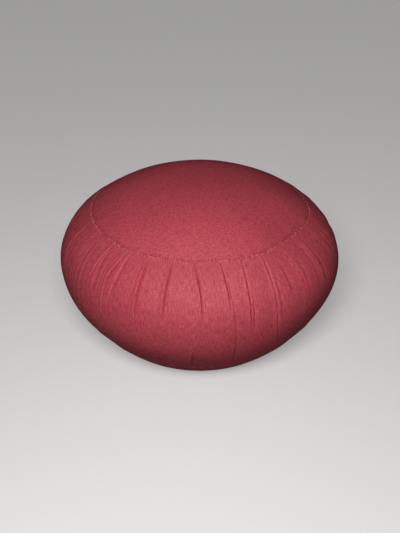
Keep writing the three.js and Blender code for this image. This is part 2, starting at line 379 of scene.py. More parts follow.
# The filling's pressure. It moves the cloth little from a start inside the final form, so the held
# tucks end a little proud of the cloth between them
filling = {
    "columnsPerTuck": 6,
    "bandRows": 30,
    "crownRings": 9,
    "footRings": 7,
    "startIn": 2.5,  # mm that the cloth starts inside the final form
    "fullHold": 2.4,  # depth in mm of a tuck that holds the cloth fully
    "footHold": 0.3,  # how firmly the bottom panel is held, off its flat spot
    "frames": 20,
    "mostMove": 7.0,  # mm that a point may lie off its place
    "shareKept": 0.35,  # share of the result that is added to the band
    "cloth": {
        "quality": 5, "mass": 0.3, "tension_stiffness": 30, "compression_stiffness": 30,
        "shear_stiffness": 12, "bending_stiffness": 1.5, "use_pressure": True, "uniform_pressure_force": 4.0,
    },
}


def fillingForm():
    # points of a closed form of the cushion, the way out at each and how firmly it is held
    perTuck = filling["columnsPerTuck"]
    columns = np.arange(tuckCount * perTuck) / perTuck
    onTuck = np.mod(np.arange(len(columns)), perTuck) == 0
    power = section["crownPower"]
    rings, normals, held = [], [], []

    def addRing(along, radius, height, outward, upward, hold):
        turn = columnTurn(columns, along)
        rings.append(onTurn(radius, height, turn))
        normals.append(onTurn(outward, upward, turn))
        held.append(hold * np.ones(len(columns)))

    for share in np.linspace(0, 1, filling["crownRings"] + 1)[1:-1]:
        slope = power * (crownHeight - topSeamHeight) / topSeamRadius * share ** (power - 1)
        size = math.hypot(1, slope)
        addRing(0.0, share * topSeamRadius, crownAt(share), slope / size, 1 / size, 0.0)
    for along in np.linspace(0, 1, filling["bandRows"]):
        crease = onTuck * tuckDepth(columns.astype(int), along)
        hold = 1.0 if along in (0, 1) else np.clip(crease / filling["fullHold"], 0, 1)
        addRing(along, *alongCurve(sideCurve, sideLength, along * bandWidth), hold)
    for distance in np.linspace(0, footLength[-1], filling["footRings"])[1:]:
        radius, height, outward, upward = alongCurve(footCurve, footLength, distance)
        addRing(1.0, radius, height, outward, upward, filling["footHold"] if height > 1 else 1.0)
    points = np.vstack(rings + [[[0, 0, crownHeight]], [[0, 0, 0]]])
    out = np.vstack(normals + [[[0, 0, 1]], [[0, 0, -1]]])
    return points, out, np.concatenate(held + [[0.0], [1.0]]), len(rings)


def clothUnderPressure():
    # how far each point of the crown and the band lies outside its place in the final form, once it has
    # been under pressure with the seams and tucks held, as grids of rings and columns
    points, out, weight, ringCount = fillingForm()
    start = points - out * filling["startIn"] * (1 - weight[:, None])
    form = makeClosedForm("fillingForm", start, ringCount)
    group = form.vertex_groups.new(name="held")
    for index, value in enumerate(weight):
        group.add([index], float(value), "REPLACE")
    cloth = form.modifiers.new("pressure", "CLOTH")
    for setting, value in filling["cloth"].items():
        setattr(cloth.settings, setting, value)
    cloth.settings.vertex_group_mass = "held"
    cloth.settings.effector_weights.gravity = 0
    cloth.point_cache.frame_start = 1
    cloth.point_cache.frame_end = filling["frames"]
    for number in range(1, filling["frames"] + 1):
        bpy.context.scene.frame_set(number)
    puffed = form.evaluated_get(bpy.context.evaluated_depsgraph_get())
    moved = np.empty(len(puffed.data.vertices) * 3)
    puffed.data.vertices.foreach_get("co", moved)
    bpy.context.scene.frame_set(1)
    bpy.data.objects.remove(form, do_unlink=True)
    offset = np.einsum("ij,ij->i", moved.reshape(-1, 3) / mm - points, out)
    offset = np.clip(offset, -filling["mostMove"], filling["mostMove"])[:-2].reshape(ringCount, -1)
    first = filling["crownRings"] - 1
    middle, seam = np.full_like(offset[:1], offset[0].mean()), np.zeros_like(offset[:1])
    crown, side = np.vstack([middle, offset[:first], seam]), offset[first : first + filling["bandRows"]]
    print("filling: the band's cloth lies %.1f to %.1f mm off its place" % (side.min(), side.max()))
    return crown, side


def cubicWeights(t):
    return np.stack([
        0.5 * (-t + 2 * t**2 - t**3), 0.5 * (2 - 5 * t**2 + 3 * t**3),
        0.5 * (t + 4 * t**2 - 3 * t**3), 0.5 * (-(t**2) + t**3),
    ])


def readGrid(grid, row, column):
    # smooth value of a grid, whose columns go round, at fractional rows and columns
    row, column = np.broadcast_arrays(np.clip(row, 0, grid.shape[0] - 1), column)
    r, c = np.floor(row).astype(int), np.floor(column).astype(int)
    value = 0
    for i, rowWeight in zip(range(-1, 3), cubicWeights(row - r)):
        for j, columnWeight in zip(range(-1, 3), cubicWeights(column - c)):
            at = grid[np.clip(r + i, 0, grid.shape[0] - 1), np.mod(c + j, grid.shape[1])]
            value = value + rowWeight * columnWeight * at
    return value


# only the unevenness round the cushion is used
crownOffset, bandOffset = (grid - grid.mean(axis=1, keepdims=True) for grid in clothUnderPressure())

# Soft gathers drawn in by the seams
gathers = {
    "waves": [(97, 0.4), (131, 2.2), (163, 4.4), (211, 1.3)],  # how many round the cushion, and start
    "sway": (1.2, 5.0),  # radians that they sway to and fro, and how fast down the band
    "patches": (7, 2),  # into how many patches the first waves are broken up, and how many more each next
    "patchDrift": (3.0, 6.0),  # radians that the patches move from one to the next, and down the band
    "height": 0.22,  # mm, at the turn where they are deepest
    "deepest": -52.0,
    "spread": 30.0,  # degrees
    "elsewhere": 0.24,  # share of the height left away from there
    "lowShare": 0.5,  # height of those by the bottom seam
    # shares of the band's width from the seam where they start, are full, start to fade and have gone
    "top": (0.02, 0.16, 0.28, 0.62),
    "low": (0.02, 0.12, 0.16, 0.4),
}


def gatherRelief(turn, along):
    # broken up by a few waves that drift along the seam and down the band
    angle = np.radians(turn)
    waves, strength = 0, 0
    (sway, swayRate), (patches, more) = gathers["sway"], gathers["patches"]
    apart, drift = gathers["patchDrift"]
    for number, (count, start) in enumerate(gathers["waves"]):
        swing = sway * np.sin(swayRate * along + number)
        patchy = 0.5 + 0.5 * np.sin((patches + more * number) * angle + apart * number + drift * along)
        waves = waves + patchy * np.sin(count * angle + start + swing)
    for name, distance, share in (("top", along, 1.0), ("low", 1 - along, gathers["lowShare"])):
        start, full, fade, end = gathers[name]
        drawn = smoothStep(distance, start, full) * (1 - smoothStep(distance, fade, end))
        strength = strength + share * drawn
    near = bell(turnFrom(turn, gathers["deepest"]) / gathers["spread"])
    return gathers["height"] * (gathers["elsewhere"] + (1 - gathers["elsewhere"]) * near) * waves * strength


# Slow unevenness of the filling, none at the seams
lumps = {
    # how many round the cushion, mm, start and how far they twist down the band, in radians
    "waves": [(2, 0.8, 0.6, 0.0), (5, 0.56, 2.1, 0.0), (3, 0.36, 1.1, 2.5), (9, 0.28, 0.0, 5.0)],
    # bulges and hollows: turn, spread in degrees, place down the band and its spread as shares of the
    # band's width, mm
    "bulges": [(54.0, 28.0, 0.28, 0.15, 2.2), (50.0, 26.0, 0.68, 0.2, -3.6), (-74.0, 20.0, 0.28, 0.16, 1.6)],
}


def lumpRelief(turn, along):
    lift = 0
    for count, size, start, twist in lumps["waves"]:
        lift = lift + size * np.sin(count * np.radians(turn) + start + twist * along)
    for centre, spread, down, width, size in lumps["bulges"]:
        lift = lift + size * bell(turnFrom(turn, centre) / spread) * bell((along - down) / width)
    return lift * np.sin(math.pi * along)


# The side band
band = {
    "columnsPerTuck": 42,
    "openRows": 36,
    # distance from a seam in mm, and how far the cloth stands out there: the folded edge
    "edge": [
        (0.0, -2.6), (0.0, -1.5), (0.0, -0.6), (0.14, -0.28), (0.45, -0.12), (0.95, -0.02), (1.6, 0.04),
        (2.2, 0.07), (2.9, 0.08), (3.7, 0.07), (4.7, 0.06), (6.0, 0.04), (7.8, 0.02), (10.0, 0.0),
    ],
    "seamHold": 0.35,  # share of the folds' relief left in the seam
    "seamHoldWidth": 4.0,
    "puckerPitch": 3.2,  # one stitch and the puffed cloth beside it
    "pucker": 0.32,
    "puckerAt": 1.8,  # mm from the seam
    "puckerWidth": 2.8,
    "puckerShare": 0.75,  # the usual share of that height, and the waves that change it
    "puckerWaves": [(17, 0.25, 1.3), (41, 0.2, 0.0)],
    # how much closer the mesh columns lie beside a tuck and a short fold, and for how many mm
    "besideTucks": (6.0, 1.2),
    "besideFolds": (1.6, 1.4),
    "meanRadius": 155.0,
    "weaveRadius": 168.0,  # where the weave keeps its true width
    # the hidden form under the panels: mm that it lies inside their outer faces, and its rings
    "clearance": 2.9,
    "crownShares": (0.35, 0.7, 0.97),
    "footStart": (127.0, 24.0),
}
puckerCount = round(math.tau * topSeamRadius / band["puckerPitch"])
farFromSeam = 99.0  # mm, for places that no mark of the needle reaches


def bandColumns():
    # mesh columns from the first tuck round, closer together beside the tucks and the short folds
    pitch = math.tau * band["meanRadius"] / tuckCount
    foldColumns = []
    for fold in shortFolds:
        for share in (0.15, 0.5, 0.85):
            along = fold["start"] + share * (fold["end"] - fold["start"])
            foldColumns.append(turnToColumn(fold["turn"] + share * fold["swing"], along))
    columns = []
    for bay in range(tuckCount):
        t = np.linspace(0, 1, 900)  # fine steps across the bay
        density = np.ones(len(t))
        crowded = [(place, *band["besideTucks"]) for place in (0, 1)]
        crowded += [(column - bay, *band["besideFolds"]) for column in foldColumns]
        for place, closer, within in crowded:
            density += closer * bell((t - place) * pitch / within)
        total = np.concatenate([[0], np.cumsum((density[1:] + density[:-1]) / 2)])
        share = np.arange(band["columnsPerTuck"]) / band["columnsPerTuck"]
        columns.append(bay + np.interp(share, total / total[-1], t))
    return np.concatenate(columns)


def seamPucker(turn, fromSeam):
    # cloth drawn down by each stitch and puffed between them, uneven along the seam
    uneven = band["puckerShare"] + addWaves(band["puckerWaves"], turn)
    height = band["pucker"] * uneven * np.cos(np.radians(turn) * puckerCount)
    return height * bell((fromSeam - band["puckerAt"]) / band["puckerWidth"])


def bandSurface(column, distance, lift):
    # points of the band: column counts tucks, distance is mm from the top seam along the section
    column, distance = np.broadcast_arrays(column, distance)
    along = np.clip(distance / bandWidth, 0, 1)
    radius, height, outward, upward = alongCurve(sideCurve, sideLength, np.clip(distance, 0, bandWidth))
    turn = columnTurn(column, along)
    rows = along * (filling["bandRows"] - 1)
    offset = filling["shareKept"] * readGrid(bandOffset, rows, column * filling["columnsPerTuck"])
    fromSeam = np.minimum(distance, bandWidth - distance)
    freed = band["seamHold"] + (1 - band["seamHold"]) * smoothStep(fromSeam, 0.0, band["seamHoldWidth"])
    out = lift + offset + freed * foldRelief(column, turn, along, radius) + gatherRelief(turn, along)
    out = out + lumpRelief(turn, along) + seamPucker(turn, fromSeam)
    drift = seamDrift(turn) * (1 - smoothStep(along, 0, section["driftEnd"]))
    raised = shoulderLift(turn) * (1 - smoothStep(along, 0, section["shoulderDown"]))
    return onTurn(radius + drift + out * outward, height + out * upward + raised, turn)


def makeBand():
    columns = bandColumns()
    count = len(columns)
    edge = np.array(band["edge"])
    openRows = np.linspace(edge[-1, 0], bandWidth - edge[-1, 0], band["openRows"] + 2)[1:-1]
    distance = np.concatenate([edge[:, 0], openRows, bandWidth - edge[::-1, 0]])
    lift = np.concatenate([edge[:, 1], np.zeros(len(openRows)), edge[::-1, 1]])
    along = np.clip(distance / bandWidth, 0, 1)[:, None]
    turn = columnTurn(columns[None], along)
    clearance = band["clearance"]
    crownRings = [
        onTurn(share * (topSeamRadius + seamDrift(turn[0])), crownAt(share) - clearance, turn[0])
        for share in band["crownShares"]
    ]
    footRings = [
        onTurn(radius, height + clearance, turn[-1])
        for radius, height in [band["footStart"]] + section["foot"][::2] + [(footRadius, 0.0)]
    ]
    rings = crownRings + list(bandSurface(columns[None], distance[:, None], lift[:, None])) + footRings
    points = np.vstack(rings + [[[0, 0, crownHeight - clearance]], [[0, 0, clearance]]])
    piece = makeClosedForm("pleatedBandCloth", points, len(rings))

    def onWholeForm(values, hidden=0.0):
        # the band's own values, with one value for the hidden rings above and below it
        above, below = np.full(len(crownRings) * count, hidden), np.full(len(footRings) * count + 2, hidden)
        return np.concatenate([above, np.ravel(values), below])

    # the cloth's own coordinates in metres: round the cushion, and down from the top seam
    across = onWholeForm(np.radians(turn) * band["weaveRadius"] * mm)
    down = onWholeForm(np.repeat(distance * mm, count))
    addClothCoordinates(piece, across, down, wrap=math.tau * band["weaveRadius"] * mm)
    fromSeam = np.repeat(np.minimum(distance, bandWidth - distance), count)
    addPointValues(piece, "fromSeam", onWholeForm(fromSeam, farFromSeam))
    radius = np.interp(along * bandWidth, sideLength, sideCurve[:, 0])
    # painted shade of the folds, for the cloth's colour
    addPointValues(piece, "paintedFoldShade", onWholeForm(foldShade(columns[None], turn, along, radius)))
    return piece


def addPointValues(piece, name, values):
    # fromSeam is mm from the nearest seam, for the marks of the needle; the fold value is the shade of the
    # folds, painted into the cloth's colour
    layer = piece.data.attributes.new(name, "FLOAT", "POINT")
    layer.data.foreach_set("value", np.maximum(values, 0.0))


def addClothCoordinates(piece, across, down, wrap=None):
    # a UV map in metres, so that the weave follows the cut of the cloth; wrap is its length round
    mesh = piece.data
    index = np.empty(len(mesh.loops), int)
    mesh.loops.foreach_get("vertex_index", index)
    u, v = across[index], down[index]
    if wrap:
        total = np.empty(len(mesh.polygons), int)
        mesh.polygons.foreach_get("loop_total", total)
        face = np.repeat(np.arange(len(total)), total)
        high = np.full(len(total), -np.inf)
        np.maximum.at(high, face, u)
        u = np.where(high[face] - u > wrap / 2, u + wrap, u)  # faces that close the round
    mesh.uv_layers.new(name="cloth").data.foreach_set("uv", np.stack([u, v], -1).ravel())


# The two panels
panel = {
    "columns": 760,
    "rings": 30,
    "ringCrowding": 0.8,  # less brings the rings closer to the seam
    "thickness": 1.6,
    "rimGap": 0.06,  # between a panel's rim and the band
    "ditch": 0.1,  # mm that the cloth dips beside the seam
    "ditchWidth": 1.6,
    "ditchPower": 1.4,  # more makes its wall steeper
    "pull": 0.2,  # mm: soft ripples drawn in by the tucks, as waves round the panel
    "pullWaves": [(31, 1.0, 0.7), (19, 0.6, 2.0), (46, 0.5, 0.0)],
    "pullWidth": 11.0,
    "pucker": 0.5,  # share of the band's pucker
    "puckerNearer": 1.5,  # mm that it lies nearer to the seam
    "offsetKept": 0.5,  # share of what the filling's pressure gives
    "softWaves": [(2, 0.5, 1.0), (3, 0.35, 0.4)],  # slow unevenness between the middle and the seam
    "middleWave": (0.3, 5.0),  # mm of one wave round the middle, and radians that it turns on its way out
    "footRise": 12.0,  # mm past the flat spot where the bottom panel has its full ripples
}


def panelDip(fromSeam, turn):
    ditch = panel["ditch"] * np.exp(-((fromSeam / panel["ditchWidth"]) ** panel["ditchPower"]))
    pull = panel["pull"] * addWaves(panel["pullWaves"], turn) * np.exp(-fromSeam / panel["pullWidth"])
    return pull - ditch + panel["pucker"] * seamPucker(turn, fromSeam + panel["puckerNearer"])


def topSurface(share, turn):
    # upper face of the top panel at a share of its radius
    radius = share * (topSeamRadius + seamDrift(turn) - panel["rimGap"])
    column = turnToColumn(turn, 0.0) * filling["columnsPerTuck"]
    offset = panel["offsetKept"] * readGrid(crownOffset, share * filling["crownRings"], column)
    size, twist = panel["middleWave"]
    soft = addWaves(panel["softWaves"], turn) * share**2 + size * np.sin(twist * share + np.radians(turn))
    height = crownAt(share) + offset + soft * (1 - share)
    height = height + shoulderLift(turn) * smoothStep(share, section["shoulderIn"], 1.0)
    return radius, height + panelDip((1 - share) * topSeamRadius, turn)


def bottomSurface(share, turn):
    # lower face of the bottom panel at a share of its radius
    radius = share * (bottomSeamRadius - panel["rimGap"])
    height = np.interp(radius, footCurve[::-1, 0], footCurve[::-1, 1])
    height = np.where(radius < footRadius, 0.0, height)
    rippled = smoothStep(radius, footRadius, footRadius + panel["footRise"])
    return radius, height - rippled * panelDip((1 - share) * bottomSeamRadius, turn)


def makePanel(name, surface, faceUp):
    count = panel["columns"]
    turn = columnTurn(np.zeros(1), 0.0)[0] + 360.0 * np.arange(count) / count
    steps = np.linspace(0, 1, panel["rings"] + 1)[1:]
    shares = np.sin(steps ** panel["ringCrowding"] * math.pi / 2)
    inwards = -panel["thickness"] if faceUp else panel["thickness"]
    outer = [onTurn(*surface(share, turn), turn) for share in shares]
    inner = [ring + [0, 0, inwards] for ring in outer]
    middle = surface(np.zeros(1), np.zeros(1))[1][0]
    middles = [[[0, 0, middle]], [[0, 0, middle + inwards]]]
    if faceUp:
        rings = outer + inner[::-1] + middles
    else:
        rings = inner + outer[::-1] + middles[::-1]
    points = np.vstack(rings)
    piece = makeClosedForm(name, points, 2 * len(shares))
    addClothCoordinates(piece, points[:, 0] * mm, points[:, 1] * mm)
    fromSeam = np.repeat((1 - np.concatenate([shares, shares[::-1]])) * topSeamRadius, count)
    addPointValues(piece, "fromSeam", np.append(fromSeam, [topSeamRadius, topSeamRadius]))
    return piece


# The topstitching
stitching = {
    "fromEdge": 1.7,  # mm from the seam, on the band's folded edge
    "length": 1.3,  # mm along the seam
    "across": 2.4,  # mm
    "thread": 0.38,  # radius
    "flat": 0.32,  # pressed flat to this share of its width
    "lift": 0.05,  # mm over the cloth
    "uneven": 0.12,  # how much the stitches differ in length and place
    "unevenLength": 0.5,  # share of that in their length, and mm of it across the seam
    "unevenAcross": 0.6,
    "taper": 0.75,  # more makes both ends thinner
    "middleUp": 0.9,  # flattened radii that the middle stands up, and that the ends lie lower
    "endsDown": 1.5,
    "sides": 6,
    "steps": 7,
}


def makeStitches(name, atTop):
    # zigzag: two short rounded pieces of thread for each pucker, slanting to and fro
    s = stitching
    sides, steps = s["sides"], s["steps"]
    around = np.linspace(0, math.tau, sides, endpoint=False)[None, :, None]
    t = np.linspace(-1, 1, steps)
    # thinner towards both ends, where it goes down into the cloth
    thick = s["thread"] * np.sqrt(np.clip(1.02 - s["taper"] * t**2, 0.05, 1))
    lift = s["lift"] + s["flat"] * s["thread"] * (s["middleUp"] - s["endsDown"] * t**2)
    points, faces = [], []
    for number in range(2 * puckerCount):
        longer, shifted, further = rng.normal(0, s["uneven"], 3)
        offset = t * s["length"] / 2 * (1 + s["unevenLength"] * longer)
        turn = (number + 0.5) * 180.0 / puckerCount + np.degrees((offset + shifted) / topSeamRadius)
        fromSeam = s["fromEdge"] + s["unevenAcross"] * further
        fromSeam = fromSeam + s["across"] / s["length"] * (-1) ** number * offset
        distance = fromSeam if atTop else bandWidth - fromSeam
        path = bandSurface(turnToColumn(turn, 0.0 if atTop else 1.0), distance, lift)
        ahead = np.gradient(path, axis=0)
        ahead /= np.linalg.norm(ahead, axis=1, keepdims=True)
        _, _, outward, upward = alongCurve(sideCurve, sideLength, distance)
        out = onTurn(outward, upward, turn)
        beside = np.cross(ahead, out)
        ring = np.cos(around) * beside[:, None] + s["flat"] * np.sin(around) * out[:, None]
        points.append((path[:, None] + thick[:, None, None] * ring).reshape(-1, 3))
        first = number * sides * steps
        last = first + sides * (steps - 1)
        faces += makeGridFaces(steps, sides, first)[:, ::-1].tolist()
        faces += [list(range(first, first + sides)), list(range(last, last + sides))[::-1]]
    return makeMesh(name, np.vstack(points), faces)


print("cloth: making the pieces")
bandPiece = makeBand()
topPiece = makePanel("topPanelCloth", topSurface, True)
bottomPiece = makePanel("bottomPanelCloth", bottomSurface, False)
topStitches = makeStitches("topStitching", True)
bottomStitches = makeStitches("bottomStitching", False)
pieces = (bandPiece, topPiece, bottomPiece, topStitches, bottomStitches)
for piece in pieces:
    piece.data.polygons.foreach_set("use_smooth", np.ones(len(piece.data.polygons), bool))


# The finishes
def newGroup(name, inputs, outputs):
    # inputs: name, kind and usual value; outputs: name and kind
    group = bpy.data.node_groups.new(name, "ShaderNodeTree")
    for label, kind, value in inputs:
        socket = group.interface.new_socket(label, in_out="INPUT", socket_type="NodeSocket" + kind)
        if value is not None:
            socket.default_value = value
    for label, kind in outputs:
        group.interface.new_socket(label, in_out="OUTPUT", socket_type="NodeSocket" + kind)
    return group, group.nodes.new("NodeGroupInput").outputs, group.nodes.new("NodeGroupOutput").inputs


def setSockets(tree, sockets, values):
    # sets or links inputs that are named or numbered: Nap_per_metre, or i0 for the first
    for key, value in values.items():
        numbered = key[0] == "i" and key[1:].isdigit()
        socket = sockets[int(key[1:])] if numbered else sockets[key.replace("_", " ")]
        if isinstance(value, bpy.types.NodeSocket):
            tree.links.new(value, socket)
        else:
            socket.default_value = value


def addNode(tree, kind, settings=None, **values):
    node = tree.nodes.new("ShaderNode" + kind)
    for key, value in (settings or {}).items():
        setattr(node, key, value)
    setSockets(tree, node.inputs, values)
    return node


def addGroup(tree, group, **values):
    return addNode(tree, "Group", {"node_tree": group}, **values).outputs


def maths(tree, operation, a, b=0.0, c=0.0):
    return addNode(tree, "Math", {"operation": operation}, i0=a, i1=b, i2=c).outputs[0]


def vectorMaths(tree, operation, a, b, c=(0.0, 0.0, 0.0)):
    return addNode(tree, "VectorMath", {"operation": operation}, i0=a, i1=b, i2=c).outputs[0]


def addNoise(tree, place, scale, detail, roughness=0.5):
    return addNode(tree, "TexNoise", None, Vector=place, Scale=scale, Detail=detail, Roughness=roughness)


def rescale(tree, value, low, high):
    # 0 at a low value and 1 at a high one
    return addNode(tree, "MapRange", None, Value=value, From_Min=low, From_Max=high).outputs["Result"]


def mixColours(tree, share, first, second):
    return addNode(tree, "Mix", {"data_type": "RGBA"}, i0=share, i6=first, i7=second).outputs[2]


# The weave: yarns down the cloth and across it
weave = {
    "stray": 0.0007,  # metres that a yarn strays to the side
    "strayPerMetre": 160.0,
    # slubs per metre across and down the cloth, for the yarns that run down it and across it
    "downSlubs": (1250.0, 130.0),
    "acrossSlubs": (160.0, 1250.0),
    "slubSeeds": (3.1, 8.4),  # so that the two kinds of slub lie in different places
    "slubHeight": 0.8,  # share of a slub's tone that stands up
    "yarnTone": 0.2,  # how much lighter the top of a yarn is: painted light on the tops, painted shade between the yarns
    "baseTone": 0.4,
}


def slubNoise(tree, cloth, perMetre, seed):
    # noise drawn out along the yarns, moved to another place by its seed
    scaled = vectorMaths(tree, "MULTIPLY", cloth, (*perMetre, 1.0))
    moved = vectorMaths(tree, "ADD", scaled, (seed, seed * 0.7, seed * 1.3))
    return addNoise(tree, moved, 1.0, 1.0, 0.6).outputs["Fac"]


def makeWeaveGroup():
    # plain weave: Height of the yarns, and Tone, which is lighter on slubby yarns and, as painted light and
    # shade, lighter on the raised tops of the yarns than between them
    group, given, result = newGroup(
        "plainWeave",
        [
            ("Cloth", "Vector", None), ("Yarns per metre", "Float", 1100.0),
            ("Warp slubs", "Float", 1.0), ("Weft slubs", "Float", 1.0),
            ("Nap", "Float", 1.0), ("Nap per metre", "Float", 1000.0),
        ],
        [("Height", "Float"), ("Tone", "Float")],
    )

    def centred(noise, size, added):
        # noise about nought, made larger by a size and added to what is there
        return maths(group, "MULTIPLY_ADD", maths(group, "SUBTRACT", noise, 0.5), size, added)

    cloth, perMetre = given["Cloth"], given["Yarns per metre"]
    wander = addNoise(group, cloth, weave["strayPerMetre"], 2.0)
    stray = vectorMaths(group, "SUBTRACT", wander.outputs["Color"], (0.5, 0.5, 0.5))
    bent = vectorMaths(group, "MULTIPLY_ADD", stray, (weave["stray"],) * 3, cloth)
    place = addNode(group, "SeparateXYZ", None, Vector=bent).outputs
    rounds, signs = [], []
    for axis in (0, 1):
        phase = maths(group, "MULTIPLY", maths(group, "MULTIPLY", place[axis], perMetre), math.pi)
        rounds.append(maths(group, "ABSOLUTE", maths(group, "SINE", phase)))
        signs.append(maths(group, "SINE", maths(group, "MULTIPLY_ADD", phase, 0.5, math.pi / 4)))
    # over and under: the sign turns at every crossing
    crossing = maths(group, "MULTIPLY_ADD", maths(group, "MULTIPLY", *signs), 0.5, 0.5)
    warp = maths(group, "MULTIPLY", rounds[0], crossing)
    weft = maths(group, "MULTIPLY", rounds[1], maths(group, "SUBTRACT", 1.0, crossing))
    yarns = maths(group, "MAXIMUM", warp, weft)
    nap = addNoise(group, cloth, given["Nap per metre"], 1.0).outputs["Fac"]
    downSeed, acrossSeed = weave["slubSeeds"]
    slubs = centred(slubNoise(group, cloth, weave["downSlubs"], downSeed), given["Warp slubs"], 0.0)
    slubs = centred(slubNoise(group, cloth, weave["acrossSlubs"], acrossSeed), given["Weft slubs"], slubs)
    slubs = centred(nap, given["Nap"], slubs)
    # painted light and shade of the weave: the raised tops of the yarns lighter than the gaps between them
    yarnTone = maths(group, "MULTIPLY_ADD", yarns, weave["yarnTone"], weave["baseTone"])
    group.links.new(maths(group, "MULTIPLY_ADD", slubs, weave["slubHeight"], yarns), result["Height"])
    group.links.new(maths(group, "ADD", slubs, yarnTone), result["Tone"])
    return group


def makeDyeGroup():
    # slow, cloudy unevenness of the dye
    group, given, result = newGroup(
        "clothDye", [("Place", "Vector", None), ("Clouds per metre", "Float", 22.0)], [("Cloud", "Float")]
    )
    cloud = addNoise(group, given["Place"], given["Clouds per metre"], 2.0, 0.6)
    group.links.new(cloud.outputs["Fac"], result["Cloud"])
    return group


needlePulls = {
    "reach": 2.6,  # mm from the seam
    "narrow": 2.5,  # more draws each pull in closer to its needle hole
    "shift": 2.2,  # how unevenly the holes are spaced: 2 pi is the way from one to the next
    "patchesPerMetre": 140.0,
    "patchy": (0.3, 0.65),  # noise values between which the pulls come up
}


def makePullGroup():
    # the cloth beside a seam, drawn in at every needle hole: Pull is 1 in the middle of each
    group, given, result = newGroup(
        "needlePulls",
        [("Place", "Vector", None), ("From seam", "Float", 0.0), ("Holes", "Float", 250.0)],
        [("Pull", "Float")],
    )
    place = addNode(group, "SeparateXYZ", None, Vector=given["Place"]).outputs
    turn = maths(group, "ARCTAN2", place[0], place[1])
    uneven = addNoise(group, given["Place"], needlePulls["patchesPerMetre"], 2.0).outputs["Fac"]
    holes = maths(group, "MULTIPLY", turn, given["Holes"])
    phase = maths(group, "MULTIPLY_ADD", uneven, needlePulls["shift"], holes)
    wave = maths(group, "MULTIPLY_ADD", maths(group, "COSINE", phase), 0.5, 0.5)
    pull = maths(group, "POWER", wave, needlePulls["narrow"])
    far = maths(group, "DIVIDE", given["From seam"], needlePulls["reach"])
    fade = maths(group, "EXPONENT", maths(group, "MULTIPLY", maths(group, "MULTIPLY", far, far), -1.0))
    strength = maths(group, "MULTIPLY", fade, rescale(group, uneven, *needlePulls["patchy"]))
    group.links.new(maths(group, "MULTIPLY", pull, strength), result["Pull"])
    return group


weaveGroup = makeWeaveGroup()
dyeGroup = makeDyeGroup()
pullGroup = makePullGroup()

panelCotton = {
    "dark": (0.29, 0.021, 0.032, 1),
    "light": (0.61, 0.085, 0.116, 1),
    "yarns": 1150.0,  # per metre
    "warpSlubs": 0.8,
    "weftSlubs": 1.0,
    "nap": 0.8,
    "napPerMetre": 430.0,
    "bump": 0.35,
    "weaveDepth": 0.0003,  # metres
    "cloud": 0.28,
    "pullShade": 0.5,
    "pullDepth": 0.0004,  # metres
    "deep": (0.2, 0.004, 0.008, 1),  # painted shade: the colour down in the creases of the folds
    "foldShade": 0.4,
    "roughness": 0.73,
    "smoothTone": 0.1,  # how much less rough a light yarn is
    "gloss": 0.5,  # none down in the folds, where their shade is painted
}
bandCotton = dict(panelCotton, warpSlubs=1.65, weftSlubs=0.95, nap=0.3, napPerMetre=900.0, bump=0.4)


def newMaterial(name):
    material = bpy.data.materials.new(name)
    material.use_nodes = True
    return material, material.node_tree, material.node_tree.nodes["Principled BSDF"].inputs


def makeCotton(name, cotton):
    material, tree, shader = newMaterial(name)
    cloth = addNode(tree, "UVMap", {"uv_map": "cloth"}).outputs[0]
    place = addNode(tree, "TexCoord").outputs["Object"]
    fromSeam = addNode(tree, "Attribute", {"attribute_name": "fromSeam"}).outputs["Fac"]
    paintedFoldShade = addNode(tree, "Attribute", {"attribute_name": "paintedFoldShade"}).outputs["Fac"]
    woven = addGroup(
        tree, weaveGroup, Cloth=cloth, Yarns_per_metre=cotton["yarns"],
        Warp_slubs=cotton["warpSlubs"], Weft_slubs=cotton["weftSlubs"],
        Nap=cotton["nap"], Nap_per_metre=cotton["napPerMetre"],
    )
    cloud = addGroup(tree, dyeGroup, Place=place)["Cloud"]
    pull = addGroup(tree, pullGroup, Place=place, From_seam=fromSeam, Holes=float(puckerCount))["Pull"]
    cloudy = maths(tree, "MULTIPLY_ADD", cloud, cotton["cloud"], -cotton["cloud"] / 2)
    tone = maths(tree, "ADD", woven["Tone"], cloudy)
    tone = maths(tree, "MULTIPLY_ADD", pull, -cotton["pullShade"], tone)
    # the cloth's colour: the dye's own tones and random unevenness, with painted shade at the needle pulls
    # and painted light on the raised yarns
    dyedAndShaded = mixColours(tree, tone, cotton["dark"], cotton["light"])
    # painted shade in the creases of the folds: the colour is mixed towards the deep colour, and the gloss
    # is taken away there
    shade = maths(tree, "MULTIPLY", paintedFoldShade, cotton["foldShade"])
    pulled = addNode(tree, "Bump", {"invert": True}, Height=pull, Strength=1.0, Distance=cotton["pullDepth"])
    bump = addNode(
        tree, "Bump", None, Height=woven["Height"], Strength=cotton["bump"],
        Distance=cotton["weaveDepth"], Normal=pulled.outputs[0],
    )
    setSockets(tree, shader, {
        "Base Color": mixColours(tree, shade, dyedAndShaded, cotton["deep"]),
        "Roughness": maths(tree, "MULTIPLY_ADD", woven["Tone"], -cotton["smoothTone"], cotton["roughness"]),
        "Specular IOR Level": maths(tree, "MULTIPLY_ADD", paintedFoldShade, -cotton["gloss"], cotton["gloss"]),
        "Normal": bump.outputs[0],
    })
    return material


threadLook = {
    # dark is the thread's own colour; pale is painted glints, standing in for light caught by some of the
    # stitches
    "dark": (0.34, 0.03, 0.043, 1),
    "pale": (0.95, 0.28, 0.31, 1),
    "glintsPerMetre": 420.0,
    "glints": (0.48, 0.74),  # noise values between which painted glints turn the thread pale
    "twistPerMetre": 900.0,
    "twistDepth": 0.0002,  # metres
    "bump": 0.4,
    "roughness": 0.55,
    "twistRough": 0.2,  # how much rougher the twist makes it
}


